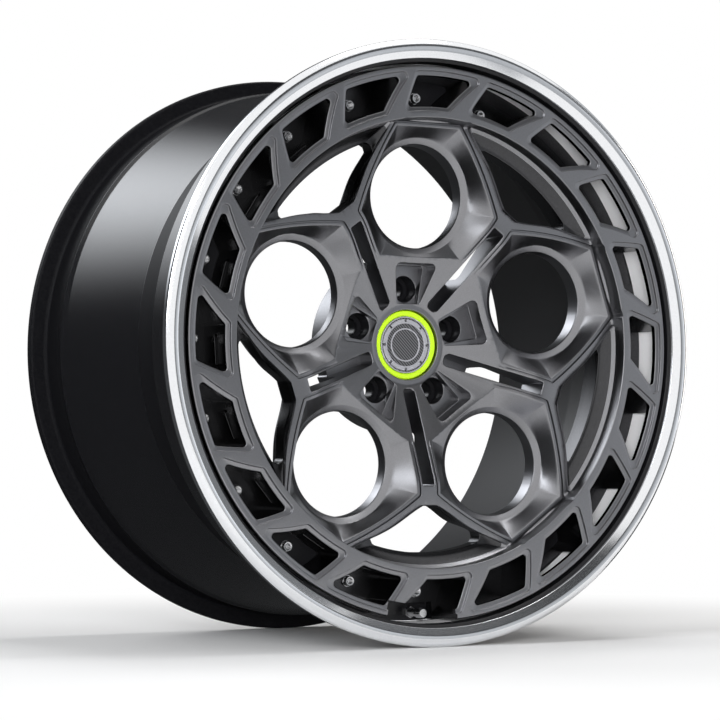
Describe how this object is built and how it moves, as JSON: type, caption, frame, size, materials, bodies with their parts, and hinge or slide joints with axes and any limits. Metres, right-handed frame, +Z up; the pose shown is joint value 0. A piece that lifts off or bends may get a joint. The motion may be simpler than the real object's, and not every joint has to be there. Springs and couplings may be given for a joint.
{
  "type": "alloy wheel",
  "caption": "Deep-lipped bolted alloy car wheel: forged face with round windows, a pocketed outer band, polished lip, tapered barrel, centre cap and tyre valve.",
  "frame": {"origin": "middle of the rim on the axis it spins about", "axes": "+Z up as the wheel stands, Y along the spin axis with the face towards -Y"},
  "size_m": [0.5934, 0.343, 0.5934],
  "materials": {
    "face_metal": "satin gunmetal over brushed alloy",
    "lip_metal": "polished",
    "barrel_paint": "gloss black",
    "bolt_steel": "plated",
    "cap_ring": "yellow-green lacquer",
    "cap_disc": "dark disc in a silver bezel",
    "valve_metal": "bright"
  },
  "bodies": {
    "root": {"wheel_face": "face_metal", "outer_lip": "lip_metal", "inner_barrel": "barrel_paint", "assembly_bolts": "bolt_steel", "cap_body": "cap_ring", "cap_emblem": "cap_disc", "valve_stem": "valve_metal", "valve_nut": "valve_metal", "valve_cap": "valve_metal"}
  },
  "joints": []
}
